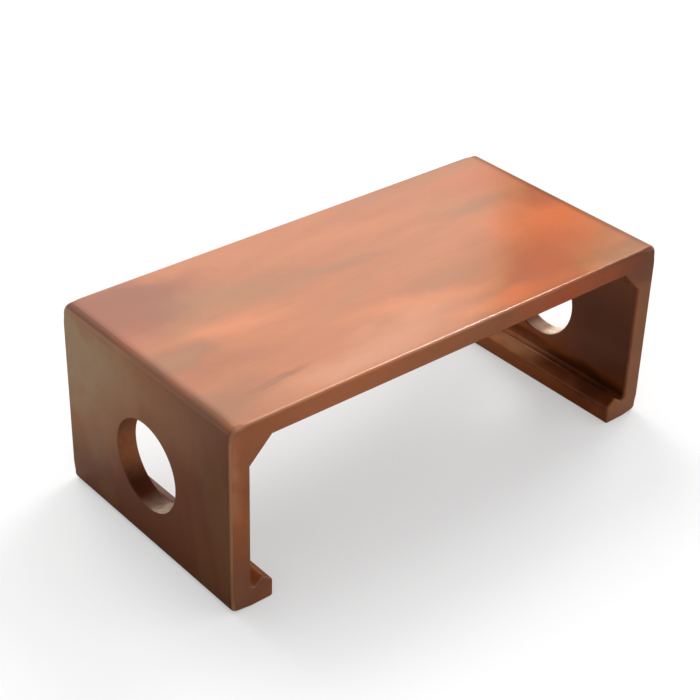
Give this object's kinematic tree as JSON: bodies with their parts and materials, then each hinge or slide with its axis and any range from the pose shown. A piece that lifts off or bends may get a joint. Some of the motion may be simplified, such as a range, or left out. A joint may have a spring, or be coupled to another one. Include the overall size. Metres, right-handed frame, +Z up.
{
  "type": "low table",
  "caption": "Low wooden table: a top mitred to two side boards with round hand holes, corner blocks under the top, and feet that turn inwards.",
  "frame": {"origin": "on the floor, under the middle of the table", "axes": "+X along the length towards the right side board, -Y towards the front as pictured, +Z up"},
  "size_m": [0.6, 0.297, 0.225],
  "materials": {
    "lacquered_wood": "red-brown stain under satin lacquer",
    "bare_beech": "bare, planed"
  },
  "bodies": {
    "root": {"top_stave_1": "lacquered_wood", "top_stave_2": "lacquered_wood", "top_stave_3": "lacquered_wood", "top_stave_4": "lacquered_wood", "left_side_stave_1": "lacquered_wood", "left_side_stave_2": "lacquered_wood", "left_side_stave_3": "lacquered_wood", "left_side_stave_4": "lacquered_wood", "right_side_stave_1": "lacquered_wood", "right_side_stave_2": "lacquered_wood", "right_side_stave_3": "lacquered_wood", "right_side_stave_4": "lacquered_wood", "left_corner_block": "lacquered_wood", "right_corner_block": "lacquered_wood", "left_foot_rail": "lacquered_wood", "right_foot_rail": "lacquered_wood", "left_mitre_tongue_1": "bare_beech", "left_mitre_tongue_2": "bare_beech", "left_mitre_tongue_3": "bare_beech", "left_mitre_tongue_4": "bare_beech", "right_mitre_tongue_1": "bare_beech", "right_mitre_tongue_2": "bare_beech", "right_mitre_tongue_3": "bare_beech", "right_mitre_tongue_4": "bare_beech", "left_foot_dowel_1": "bare_beech", "left_foot_dowel_2": "bare_beech", "left_foot_dowel_3": "bare_beech", "left_foot_dowel_4": "bare_beech", "right_foot_dowel_1": "bare_beech", "right_foot_dowel_2": "bare_beech", "right_foot_dowel_3": "bare_beech", "right_foot_dowel_4": "bare_beech"}
  },
  "joints": []
}
